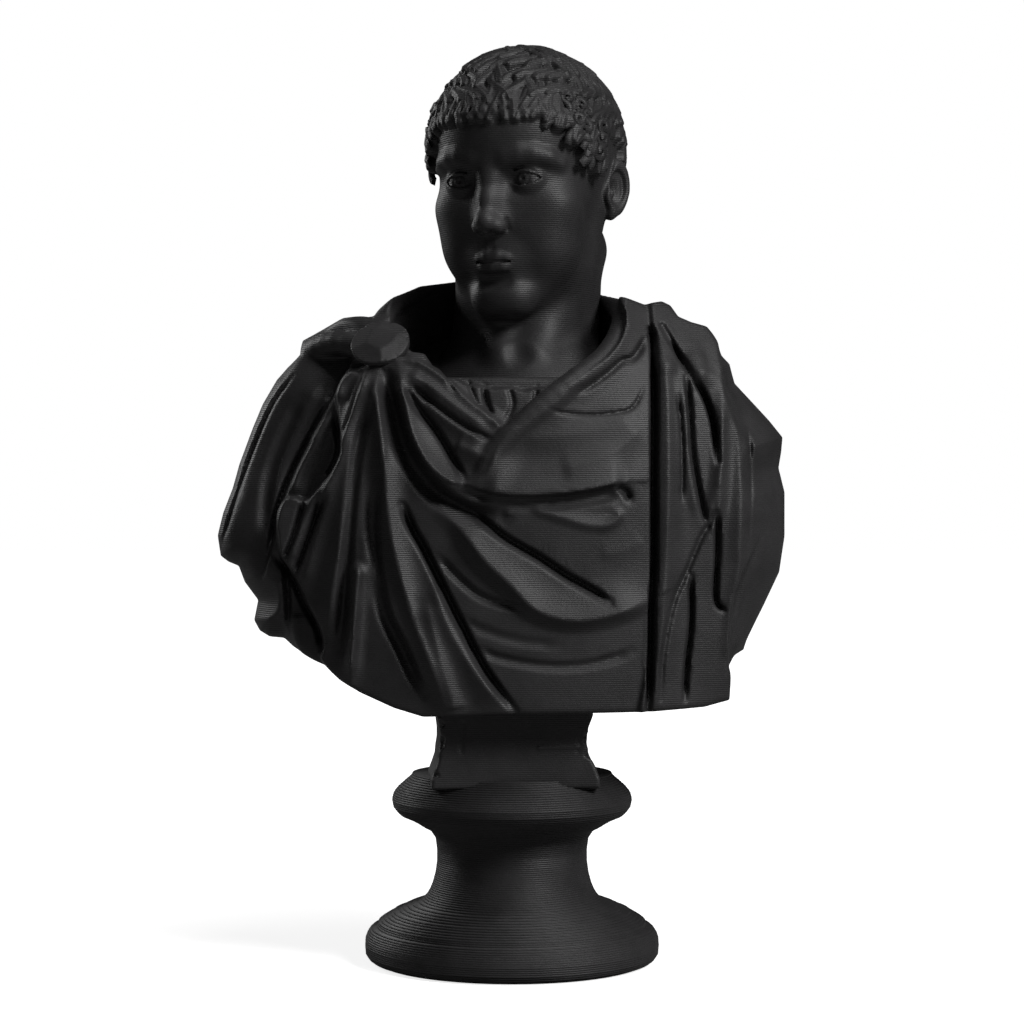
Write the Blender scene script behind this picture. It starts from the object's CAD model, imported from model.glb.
import math

import bmesh
import bpy
import numpy as np
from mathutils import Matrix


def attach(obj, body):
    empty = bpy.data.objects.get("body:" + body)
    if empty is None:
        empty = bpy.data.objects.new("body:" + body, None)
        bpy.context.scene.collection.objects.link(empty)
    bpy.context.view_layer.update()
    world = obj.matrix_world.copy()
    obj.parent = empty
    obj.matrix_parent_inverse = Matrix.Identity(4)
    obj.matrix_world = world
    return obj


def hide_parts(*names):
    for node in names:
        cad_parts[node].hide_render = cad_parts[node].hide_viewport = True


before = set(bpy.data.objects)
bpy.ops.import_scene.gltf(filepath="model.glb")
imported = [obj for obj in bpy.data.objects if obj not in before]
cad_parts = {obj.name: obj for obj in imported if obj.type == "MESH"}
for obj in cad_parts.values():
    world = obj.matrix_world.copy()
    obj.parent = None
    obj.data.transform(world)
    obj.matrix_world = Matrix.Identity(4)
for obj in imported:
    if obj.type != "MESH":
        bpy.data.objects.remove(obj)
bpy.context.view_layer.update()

import openvdb
from mathutils import Euler, Matrix, Vector

# A small printed bust in black plastic. Free forms are drawn in millimetres, with Z up from the shelf
# and -Y towards the viewer, and are brought to metres at the end.
mm = 0.001
nodeName = "roman_emperor_bust"


def smoothMin(a, b, k):
    h = np.clip(0.5 + 0.5 * (b - a) / k, 0.0, 1.0)
    return b + (a - b) * h - k * h * (1.0 - h)


def smoothMax(a, b, k):
    return -smoothMin(-a, -b, k)


def ramp(t):
    t = np.clip(t, 0.0, 1.0)
    return t * t * (3.0 - 2.0 * t)


def ellipsoid(p, centre, radii):
    q = [(p[i] - centre[i]) / radii[i] for i in range(3)]
    k0 = np.sqrt(q[0] ** 2 + q[1] ** 2 + q[2] ** 2) + 1e-6
    k1 = np.sqrt((q[0] / radii[0]) ** 2 + (q[1] / radii[1]) ** 2 + (q[2] / radii[2]) ** 2) + 1e-6
    return k0 * (k0 - 1.0) / k1


def capsule(p, a, b, ra, rb):
    ab = [b[i] - a[i] for i in range(3)]
    t = sum((p[i] - a[i]) * ab[i] for i in range(3)) / sum(v * v for v in ab)
    t = np.clip(t, 0.0, 1.0)
    return np.sqrt(sum((p[i] - a[i] - t * ab[i]) ** 2 for i in range(3))) - (ra + (rb - ra) * t)


def curved(points, per=5):  # points on a smooth curve through the given ones
    p = np.array(points, dtype=float)
    e = np.vstack([2 * p[0] - p[1], p, 2 * p[-1] - p[-2]])
    out = []
    for i in range(1, len(e) - 2):
        for t in np.arange(per) / per:
            out.append(0.5 * (2 * e[i] + (e[i + 1] - e[i - 1]) * t
                              + (2 * e[i - 1] - 5 * e[i] + 4 * e[i + 1] - e[i + 2]) * t ** 2
                              + (3 * e[i] - e[i - 1] - 3 * e[i + 1] + e[i + 2]) * t ** 3))
    out.append(p[-1])
    return np.array(out)


def pathDistance(gx, gz, points):  # distance, side and share of the way along
    line = curved(points)
    best = np.full(gx.shape, 1e9)
    side = np.ones(gx.shape)
    along = np.zeros(gx.shape)
    n = len(line) - 1
    for i in range(n):
        (ax, az), (bx, bz) = line[i], line[i + 1]
        dx, dz = bx - ax, bz - az
        t = np.clip(((gx - ax) * dx + (gz - az) * dz) / (dx * dx + dz * dz), 0.0, 1.0)
        d = (gx - ax - t * dx) ** 2 + (gz - az - t * dz) ** 2
        near = d < best
        best[near] = d[near]
        side[near] = np.sign(dx * (gz - az) - dz * (gx - ax))[near]
        along[near] = ((i + t) / n)[near]
    return np.sqrt(best), side, along


def outlineDistance(gx, gz, points):  # below zero inside the closed outline
    best = np.full(gx.shape, 1e9)
    inside = np.zeros(gx.shape, dtype=bool)
    for i, (ax, az) in enumerate(points):
        bx, bz = points[(i + 1) % len(points)]
        dx, dz = bx - ax, bz - az
        t = np.clip(((gx - ax) * dx + (gz - az) * dz) / (dx * dx + dz * dz + 1e-9), 0.0, 1.0)
        best = np.minimum(best, (gx - ax - t * dx) ** 2 + (gz - az - t * dz) ** 2)
        if az != bz:
            inside ^= ((az > gz) != (bz > gz)) & (gx < dx * (gz - az) / (bz - az) + ax)
    return np.where(inside, -1.0, 1.0) * np.sqrt(best)


def throughDepth(values):  # values drawn from the front, held the same from front to back
    return values.astype(np.float32)[:, None, :]


class Sculpt:  # a distance field that forms are added to and cut from, each only where it reaches
    def __init__(self, low, high, voxel):
        self.low, self.voxel = low, voxel
        self.axes = [np.arange(low[i], high[i] + voxel, voxel, dtype=np.float32) for i in range(3)]
        self.field = np.full([len(a) for a in self.axes], 10.0 * voxel, dtype=np.float32)

    def plane(self, a, b):  # the two coordinates of every point in one plane of the grid
        return np.meshgrid(self.axes[a].astype(float), self.axes[b].astype(float), indexing="ij")

    def window(self, low, high, margin=0.0):
        spans = []
        for i in range(3):
            a = int((low[i] - margin - self.low[i]) / self.voxel) - 1
            b = int((high[i] + margin - self.low[i]) / self.voxel) + 3
            spans.append(slice(max(a, 0), max(b, 1)))
        return tuple(spans), np.ix_(*[self.axes[i][spans[i]] for i in range(3)])

    def blend(self, low, high, k, shape, cut=False):
        at, p = self.window(low, high, k)
        form = shape(p).astype(np.float32)
        self.field[at] = smoothMax(self.field[at], -form, k) if cut else smoothMin(self.field[at], form, k)

    def ball(self, centre, radii, k, cut=False):
        low = [centre[i] - radii[i] for i in range(3)]
        high = [centre[i] + radii[i] for i in range(3)]
        self.blend(low, high, k, lambda p: ellipsoid(p, centre, radii), cut)

    def limb(self, a, b, ra, rb, k, cut=False):
        reach = max(ra, rb)
        low = [min(a[i], b[i]) - reach for i in range(3)]
        high = [max(a[i], b[i]) + reach for i in range(3)]
        self.blend(low, high, k, lambda p: capsule(p, a, b, ra, rb), cut)

    def chain(self, points, radii, k, cut=False):
        for i in range(len(points) - 1):
            self.limb(points[i], points[i + 1], radii[i], radii[i + 1], k, cut)


def pieceFromField(sculpt, name, triangles, turn=Matrix.Identity(3), scale=1.0, move=(0.0, 0.0, 0.0)):
    grid = openvdb.FloatGrid()
    grid.copyFromArray(np.ascontiguousarray(sculpt.field, dtype=np.float32))
    points, quads = grid.convertToQuads(isovalue=0.0)
    points = (points * sculpt.voxel + np.array(sculpt.low)) @ np.array(turn).T * scale + np.array(move)
    mesh = bpy.data.meshes.new(name)
    mesh.vertices.add(len(points))
    mesh.vertices.foreach_set("co", (points * mm).astype(np.float32).ravel())
    mesh.loops.add(quads.size)
    mesh.loops.foreach_set("vertex_index", quads.astype(np.int32)[:, ::-1].ravel())
    mesh.polygons.add(len(quads))
    mesh.polygons.foreach_set("loop_start", np.arange(0, quads.size, 4, dtype=np.int32))
    mesh.update(calc_edges=True)
    mesh.validate()
    bm = bmesh.new()
    bm.from_mesh(mesh)
    if bm.calc_volume(signed=True) < 0:
        bmesh.ops.reverse_faces(bm, faces=bm.faces)
    bmesh.ops.triangulate(bm, faces=bm.faces)
    count = len(bm.faces)
    bm.to_mesh(mesh)
    bm.free()
    raw = bpy.data.objects.new(name + "Raw", mesh)
    bpy.context.scene.collection.objects.link(raw)
    if count > triangles:
        thin = raw.modifiers.new("thin", "DECIMATE")
        thin.ratio = triangles / count
    return plainPiece(raw, name)


def plainPiece(source, name):  # the evaluated object as a plain mesh on a new object at the origin
    graph = bpy.context.evaluated_depsgraph_get()
    mesh = bpy.data.meshes.new_from_object(source.evaluated_get(graph))
    bpy.data.objects.remove(source)
    piece = bpy.data.objects.new(name, mesh)
    bpy.context.scene.collection.objects.link(piece)
    mesh.name = name
    mesh.shade_smooth()
    print("made", name, len(mesh.polygons), "faces")
    return piece


def node(tree, kind, values=None, **settings):
    made = tree.nodes.new(kind)
    for key, value in settings.items():
        setattr(made, key, value)
    for key, value in (values or {}).items():
        made.inputs[key].default_value = value
    return made


def link(tree, *pairs):
    for a, b in pairs:
        tree.links.new(a, b)


def calc(tree, operation, *values):  # a maths node on numbers and other nodes' outputs
    made = node(tree, "ShaderNodeMath", operation=operation)
    for i, value in enumerate(values):
        if isinstance(value, (int, float)):
            made.inputs[i].default_value = value
        else:
            tree.links.new(value, made.inputs[i])
    return made.outputs[0]


def shades(tree, *stops):  # a colour ramp from places and colours
    made = node(tree, "ShaderNodeValToRGB")
    marks = made.color_ramp.elements
    while len(marks) < len(stops):
        marks.new(1.0)
    for mark, (place, colour) in zip(marks, stops):
        mark.position = place
        mark.color = (*colour, 1.0)
    return made


def eyeOrLight(tree, lit, seen, out):  # one shader for bounced light, the other for what the eye sees
    path = node(tree, "ShaderNodeLightPath")
    mix = node(tree, "ShaderNodeMixShader")
    link(tree, (path.outputs["Is Camera Ray"], mix.inputs[0]), (lit.outputs[0], mix.inputs[1]),
         (seen.outputs[0], mix.inputs[2]), (mix.outputs[0], out.inputs[0]))


def treeWithInputs(name, inputs):  # a Geometry Nodes tree; gives its sockets' identifiers by name
    tree = bpy.data.node_groups.new(name, "GeometryNodeTree")
    face = tree.interface
    face.new_socket("Geometry", in_out="INPUT", socket_type="NodeSocketGeometry")
    sockets = {key: face.new_socket(key, in_out="INPUT", socket_type="NodeSocket" + kind).identifier
               for key, kind in inputs.items()}
    face.new_socket("Geometry", in_out="OUTPUT", socket_type="NodeSocketGeometry")
    return tree, sockets


def grown(source, name, tree, sockets, values):  # the tree's result as a plain piece, its inputs set first
    modifier = source.modifiers.new("grow", "NODES")
    modifier.node_group = tree
    for key, value in values.items():
        modifier[sockets[key]] = value
    return plainPiece(source, name)


# Head and neck. Its own frame has the chin at 0 and the crown at 1, the face towards -Y.
head = {"size": 37.8, "turn": -22.0, "nod": 8.0, "place": (3.3, 1.0, 97.6), "voxel": 0.0046,
        "triangles": 190000}
skull = {"centre": (0.0, 0.03, 0.63), "radii": (0.345, 0.440, 0.370)}
hair = {"cap": 0.016, "base": 0.010, "dome": 0.024, "lift": 0.016, "groove": 0.0035, "length": 0.205,
        "width": 0.030, "spacing": 0.060, "rowGap": 0.20, "seed": 11}
fringe = {"locks": 25, "reach": 1.05, "length": 0.19, "width": 0.032, "bend": 0.012, "dome": 0.026,
          "lift": 0.016}
headTurn = Euler((math.radians(head["nod"]), 0.0, math.radians(head["turn"]))).to_matrix()


def toHead(point):
    return tuple(headTurn.inverted() @ (Vector(point) - Vector(head["place"])) / head["size"])


def scalpPoint(turn, rise, out=0.0):
    d = (math.sin(turn) * math.cos(rise), -math.cos(turn) * math.cos(rise), math.sin(rise))
    k = 1.0 / math.sqrt(sum((d[i] / skull["radii"][i]) ** 2 for i in range(3))) + out
    return tuple(skull["centre"][i] + d[i] * k for i in range(3))


def scalpFrame(turn, rise, out, lean):  # a place on the scalp, with the way across and the way the hair falls
    at = Vector(scalpPoint(turn, rise, out))
    normal = Vector([(at[i] - skull["centre"][i]) / skull["radii"][i] ** 2 for i in range(3)]).normalized()
    along = at - Vector(scalpPoint(math.pi, 1.05))
    along = (along - along.dot(normal) * normal).normalized()
    along = Matrix.Rotation(lean, 3, normal) @ along
    return at, along.cross(normal), along


hairEdge = ((0.0, 0.24), (0.55, 0.23), (0.80, 0.14), (1.0, -0.05), (1.15, -0.26), (1.34, -0.30), (1.48, 0.02),
            (1.8, 0.02), (2.0, -0.30), (2.3, -0.58), (3.15, -0.70))


def hairline(turn):  # rise of the hair's lower edge at a turn from the face
    return np.interp(np.abs(turn), [t for t, _ in hairEdge], [r for _, r in hairEdge])


def carveFace(h):
    h.ball(skull["centre"], skull["radii"], 0.02)
    h.ball((0.0, -0.12, 0.43), (0.275, 0.285, 0.40), 0.08)
    h.ball((0.0, -0.20, 0.70), (0.25, 0.212, 0.20), 0.08)
    h.ball((0.0, -0.335, 0.072), (0.085, 0.066, 0.066), 0.07)
    for s in (-1.0, 1.0):  # jaw, cheekbones and cheeks
        h.limb((s * 0.06, -0.30, 0.065), (s * 0.195, -0.03, 0.17), 0.062, 0.055, 0.08)
        h.limb((s * 0.195, -0.03, 0.17), (s * 0.255, 0.02, 0.38), 0.055, 0.06, 0.07)
        h.ball((s * 0.180, -0.240, 0.415), (0.090, 0.080, 0.065), 0.09)
        h.ball((s * 0.150, -0.215, 0.27), (0.105, 0.115, 0.14), 0.10)
    for s in (-1.0, 1.0):
        h.ball((s * 0.38, -0.20, 0.60), (0.055, 0.12, 0.10), 0.06, cut=True)  # temple
        h.ball((s * 0.128, -0.432, 0.512), (0.086, 0.062, 0.050), 0.045, cut=True)  # socket
        brow = [(s * 0.030, -0.380, 0.590), (s * 0.07, -0.388, 0.604), (s * 0.12, -0.381, 0.612),
                (s * 0.17, -0.360, 0.608), (s * 0.215, -0.325, 0.592), (s * 0.25, -0.285, 0.566)]
        h.chain(brow, [0.013, 0.017, 0.018, 0.016, 0.013, 0.010], 0.045)


def carveEyes(h):
    for s in (-1.0, 1.0):
        eye = (s * 0.130, -0.318, 0.512)
        ball, lid = 0.066, 0.0755

        def opening(p):
            u = (p[0] - eye[0]) * s
            v = p[2] - eye[2] - 0.05 * u
            bow = np.clip(1.0 - (u / 0.066) ** 2, 0.0, 1.0)
            return np.maximum(v - 0.031 * bow ** 0.75, -0.019 * bow - v)

        def lids(p):
            return smoothMax(ellipsoid(p, eye, (lid, lid, lid)), -opening(p), 0.005)

        low = [eye[0] - 0.08, eye[1] - 0.09, eye[2] - 0.08]
        high = [eye[0] + 0.08, eye[1] + 0.05, eye[2] + 0.08]
        h.blend(low, high, 0.012, lids)
        h.ball(eye, (ball, ball, ball), 0.003)
        arc = [(eye[0] + s * u, eye[1] - math.sqrt(max(0.079 ** 2 - u * u - v * v, 0.0)), eye[2] + v)
               for u, v in ((-0.058, 0.020), (-0.030, 0.042), (0.0, 0.047), (0.032, 0.040), (0.066, 0.018))]
        h.chain(arc, [0.003, 0.005, 0.0055, 0.005, 0.003], 0.006, cut=True)  # crease over the lid
        gaze = (eye[0], eye[1] - ball, eye[2] + 0.003)
        ring = [(gaze[0] + 0.026 * math.cos(a), gaze[1] + 0.0052, gaze[2] + 0.026 * math.sin(a))
                for a in np.linspace(0.0, 2.0 * math.pi, 15)]
        h.chain(ring, [0.0028] * 15, 0.002, cut=True)
        h.ball((gaze[0], gaze[1], gaze[2] + 0.004), (0.010, 0.008, 0.009), 0.004, cut=True)


def carveNoseAndMouth(h):
    h.chain([(0.0, -0.380, 0.590), (0.0, -0.398, 0.530), (0.0, -0.424, 0.450), (0.0, -0.450, 0.375)],
            [0.026, 0.025, 0.027, 0.031], 0.040)
    for s in (-1.0, 1.0):
        h.limb((s * 0.020, -0.374, 0.520), (s * 0.032, -0.405, 0.365), 0.022, 0.029, 0.040)
    h.ball((0.0, -0.462, 0.360), (0.036, 0.036, 0.032), 0.035)
    for s in (-1.0, 1.0):
        h.ball((s * 0.040, -0.424, 0.342), (0.026, 0.036, 0.026), 0.022)
        h.limb((s * 0.070, -0.412, 0.365), (s * 0.068, -0.400, 0.328), 0.005, 0.006, 0.014, cut=True)
        h.limb((s * 0.016, -0.470, 0.316), (s * 0.026, -0.435, 0.318), 0.0085, 0.010, 0.008, cut=True)
    h.ball((0.0, -0.452, 0.326), (0.010, 0.026, 0.013), 0.010)
    h.ball((0.0, -0.315, 0.220), (0.110, 0.092, 0.090), 0.060)
    h.limb((0.0, -0.424, 0.300), (0.0, -0.421, 0.250), 0.007, 0.010, 0.016, cut=True)  # groove under the nose
    upper = [(0.0, -0.407, 0.2240), (0.020, -0.406, 0.2285), (0.050, -0.392, 0.2215), (0.084, -0.364, 0.2105)]
    lower = [(0.0, -0.400, 0.1865), (0.035, -0.395, 0.1885), (0.080, -0.364, 0.2030)]
    for s in (-1.0, 1.0):
        h.chain([(s * x, y, z) for x, y, z in upper], [0.0145, 0.0160, 0.0130, 0.0060], 0.020)
        h.chain([(s * x, y, z) for x, y, z in lower], [0.0210, 0.0190, 0.0070], 0.020)
    line = curved(((-0.084, -0.376, 0.2070), (-0.050, -0.407, 0.2085), (-0.018, -0.4265, 0.2070),
                   (0.0, -0.4285, 0.2085), (0.018, -0.4265, 0.2070), (0.050, -0.407, 0.2085),
                   (0.084, -0.376, 0.2070)), 3)
    h.chain(line, [0.0040] * len(line), 0.007, cut=True)
    h.limb((-0.040, -0.404, 0.137), (0.040, -0.404, 0.137), 0.014, 0.014, 0.040, cut=True)


def carveEars(h):
    lean = math.radians(24.0)
    for s in (-1.0, 1.0):
        low, high = (min(s * 0.24, s * 0.46), -0.10, 0.26), (max(s * 0.24, s * 0.46), 0.22, 0.66)

        def shell(p):
            x, y = s * p[0] - 0.338, p[1] - 0.062 - 0.16 * (p[2] - 0.46)
            u = y * math.cos(lean) + x * math.sin(lean)  # towards the back of the ear
            w = x * math.cos(lean) - y * math.sin(lean)  # out from the head
            v = (p[2] - 0.462) * 0.92
            width = 0.072 - 0.16 * np.maximum(-v - 0.02, 0.0)
            edge = (np.sqrt((u / width) ** 2 + (v / 0.104) ** 2) - 1.0) * 0.065
            rim = np.sqrt((edge + 0.014) ** 2 + (w - 0.016) ** 2) - 0.0125
            rim = smoothMax(rim, (-u - 0.055 + 0.4 * v) * 0.8, 0.01)
            plate = smoothMax(edge + 0.004, np.abs(w + 0.014) - 0.026, 0.012)
            bowl = np.sqrt((u + 0.012) ** 2 + ((v + 0.012) * 0.62) ** 2 + (w - 0.030) ** 2) - 0.033
            groove = np.sqrt((edge + 0.034) ** 2 + (w - 0.022) ** 2) - 0.010
            groove = smoothMax(groove, -v - 0.01, 0.01)
            plate = smoothMax(smoothMax(plate, -bowl, 0.008), -groove, 0.006)
            lobe = np.sqrt((u + 0.020) ** 2 + ((v + 0.086) * 0.8) ** 2 + (w - 0.002) ** 2) - 0.024
            return smoothMin(smoothMin(plate, rim, 0.008), lobe, 0.012)

        h.blend(low, high, 0.012, shell)
        h.ball((s * 0.338, 0.020, 0.440), (0.016, 0.012, 0.020), 0.008)


def carveNeck(h):
    h.limb(toHead((1.6, 3.0, 82.0)), toHead((2.7, 2.0, 106.0)), 0.300, 0.280, 0.07)
    h.ball(toHead((0.8, -0.3, 83.4)), (0.44, 0.335, 0.25), 0.10)
    h.limb((0.0, 0.17, 0.28), toHead((1.6, 4.5, 92.0)), 0.17, 0.20, 0.12)
    for s in (-1.0, 1.0):  # the long muscle from behind the ear to the pit of the neck
        h.limb((s * 0.195, 0.12, 0.22), toHead((0.8 + s * 2.4, -9.0, 90.5)), 0.045, 0.032, 0.09)
    h.ball(toHead((0.8, -12.4, 90.6)), (0.030, 0.030, 0.035), 0.05, cut=True)


def carveHairCap(h):
    at, p = h.window((-0.48, -0.60, 0.05), (0.48, 0.60, 1.10))
    x, y, z = (p[i] - skull["centre"][i] for i in range(3))
    turn = np.abs(np.arctan2(x, -y))
    rise = np.arctan2(z, np.sqrt(x * x + y * y))
    edge = hairline(turn[:, :, 0])[:, :, None]
    shell = ellipsoid(p, skull["centre"], [r + hair["cap"] for r in skull["radii"]])
    shell = smoothMax(shell, (edge + 0.04 - rise) * 0.36, 0.02)
    h.field[at] = smoothMin(h.field[at], shell.astype(np.float32), 0.010)


def carveLock(h, spot, side, along, length, width, bend, dome, lift):
    reach = 0.62 * length + width  # an S of hair: low at its root, domed and grooved, lifted at its tip
    at, p = h.window([v - reach for v in spot], [v + reach for v in spot])
    q = [p[i] - spot[i] for i in range(3)]
    t = sum(q[i] * along[i] for i in range(3)) / length + 0.5
    inside = np.clip(t, 0.0, 1.0)
    middle = bend * np.sin(1.5 * np.pi * inside)
    half = width * (0.45 + 0.55 * np.sin(np.pi * np.clip(0.10 + 0.70 * inside, 0.0, 1.0)))
    half = half * (1.0 - 0.3 * inside ** 8)
    d = np.abs(sum(q[i] * side[i] for i in range(3)) - middle) / half
    top = dome * np.sqrt(np.clip(1.0 - d * d, 0.0, 1.0)) + lift * inside
    top = top - hair["groove"] * (0.5 - 0.5 * np.cos(3.0 * np.pi * d)) * np.clip(1.3 - d, 0.0, 1.0)
    top = top - 2.4 * np.maximum(d - 1.0, 0.0) * half - 2.0 * np.abs(t - inside) * length
    skin = ellipsoid(p, skull["centre"], [r + hair["base"] for r in skull["radii"]])
    h.field[at] = smoothMin(h.field[at], (skin - top).astype(np.float32), 0.004)


def hairLock(h, rng, turn, rise, row):
    turn = math.remainder(turn, 2.0 * math.pi)
    back = min(max((abs(turn) - 1.1) / 0.8, 0.0), 1.0)
    wave = math.sin(2.3 * turn + 1.1 * row)
    spot, side, along = scalpFrame(turn, rise, hair["base"], 0.20 * wave + rng.uniform(-0.12, 0.12))
    way = 1.0 if wave + rng.uniform(-0.6, 0.6) > 0.0 else -1.0
    carveLock(h, spot, side, along, hair["length"] * rng.uniform(0.88, 1.12),
              hair["width"] * rng.uniform(0.85, 1.12), way * rng.uniform(0.026, 0.044),
              hair["dome"] * (1.0 - 0.35 * back), hair["lift"] * (1.0 - 0.3 * back))


def carveHair(h):
    rng = np.random.default_rng(hair["seed"])
    for row in range(6, -6, -1):  # rings of locks, from the crown down
        rise = 0.20 + hair["rowGap"] * row
        if rise > 1.5:
            continue
        count = max(7, round(2.0 * math.pi * 0.41 * math.cos(rise) / hair["spacing"]))
        for i in range(count):
            turn = 2.0 * math.pi * (i + 0.5 * (row % 2) + rng.uniform(-0.12, 0.12)) / count - math.pi
            if rise > hairline(turn) + (0.36 if abs(turn) < 1.15 else 0.20):
                hairLock(h, rng, turn, rise, row)
    for i in range(fringe["locks"]):  # the fringe, with a round end on each lock
        turn = -fringe["reach"] + 2.0 * fringe["reach"] * i / (fringe["locks"] - 1)
        edge = hairline(turn)
        spot, side, along = scalpFrame(turn, edge + 0.20, hair["base"], rng.uniform(-0.10, 0.10))
        carveLock(h, spot, side, along, fringe["length"] * rng.uniform(0.95, 1.08), fringe["width"],
                  rng.choice((-1.0, 1.0)) * fringe["bend"], fringe["dome"], fringe["lift"])
        r = rng.uniform(0.022, 0.027)
        h.ball(scalpPoint(turn + rng.uniform(-0.01, 0.01), edge + 0.075, 0.026), (r, r, r * 1.1), 0.010)
        h.ball(scalpPoint(turn + 0.044, edge + 0.10, 0.040), (0.009, 0.012, 0.016), 0.006, cut=True)


def makeHead():
    h = Sculpt((-0.46, -0.58, -0.48), (0.46, 0.58, 1.08), head["voxel"])
    carveFace(h)
    carveEyes(h)
    carveNoseAndMouth(h)
    carveNeck(h)
    carveHairCap(h)
    carveHair(h)
    carveEars(h)
    return pieceFromField(h, "head", head["triangles"], headTurn, head["size"], head["place"])


# Commas and snail curls on the temples. Each place has a kind, a size and a turn.
curls = {"lift": 0.028, "seed": 4, "steps": 8, "lobes": 4, "flat": 0.62, "temple": 28}
lockRadii = (0.14, 0.24, 0.26)  # at the start, middle and end of a lock one unit long
lockShapes = [((0.0, 0.0, -0.10), (s * 0.16, 0.35, 0.20), (s * -0.16, 0.70, 0.30), (s * 0.05, 0.90, 0.02))
              for s in (1.0, -1.0)]


def curlPlaces():
    rng = np.random.default_rng(curls["seed"])
    places = []

    def add(turn, rise, kind, size, lean):
        at, side, along = scalpFrame(turn, rise, curls["lift"], lean)
        frameOf = headTurn @ Matrix((side, along, side.cross(along))).transposed()
        spot = headTurn @ at * head["size"] + Vector(head["place"])
        places.append((spot * mm, frameOf.to_euler(), kind, size * head["size"] * mm))

    for s in (-1.0, 1.0):  # on the temples, down to the ears
        for k in range(curls["temple"]):
            turn = s * (0.64 + 0.64 * ((k % 7) + 0.5 * (k // 7 % 2) + rng.uniform(-0.15, 0.15)) / 7.0)
            rise = hairline(turn) + 0.06 + 0.125 * (k // 7) + rng.uniform(-0.02, 0.02)
            if -0.2 < rise < 0.50:
                add(turn, rise, rng.integers(0, 4), 0.080 * rng.uniform(0.85, 1.12), rng.uniform(-1.2, 1.2))
    return places


def lockBranch(tree, start, points):  # an S along a curve, thicker to its tip
    curve = node(tree, "GeometryNodeCurvePrimitiveBezierSegment",
                 {"Start": points[0], "Start Handle": points[1], "End Handle": points[2], "End": points[3]})
    share = node(tree, "GeometryNodeSplineParameter")
    swell = node(tree, "ShaderNodeFloatCurve")
    line = swell.mapping.curves[0]
    line.points[0].location = (0.0, lockRadii[0])
    line.points[1].location = (1.0, lockRadii[2])
    line.points.new(0.55, lockRadii[1])
    swell.mapping.update()
    thick = node(tree, "GeometryNodeSetCurveRadius")
    up = node(tree, "GeometryNodeSetCurveNormal")
    up.mode = "Z_UP"
    link(tree, (start.outputs["Steps"], curve.inputs["Resolution"]),
         (share.outputs["Factor"], swell.inputs["Value"]),
         (curve.outputs[0], up.inputs[0]), (up.outputs[0], thick.inputs[0]),
         (swell.outputs[0], thick.inputs["Radius"]))
    return thick


def curlBranch(tree, start, way):  # a snail
    curve = node(tree, "GeometryNodeCurveSpiral", {"Rotations": 1.35, "Start Radius": 0.16,
                                                   "End Radius": 0.42, "Height": -0.30, "Reverse": way < 0})
    lift = node(tree, "GeometryNodeTransform", {"Translation": (0.0, 0.0, 0.34)})
    share = node(tree, "GeometryNodeSplineParameter")
    swell = node(tree, "ShaderNodeMapRange", {"To Min": 0.17, "To Max": 0.24})
    thick = node(tree, "GeometryNodeSetCurveRadius")
    link(tree, (start.outputs["Steps"], curve.inputs["Resolution"]), (curve.outputs[0], lift.inputs[0]),
         (share.outputs["Factor"], swell.inputs["Value"]), (lift.outputs[0], thick.inputs[0]),
         (swell.outputs[0], thick.inputs["Radius"]))
    return thick


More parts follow.
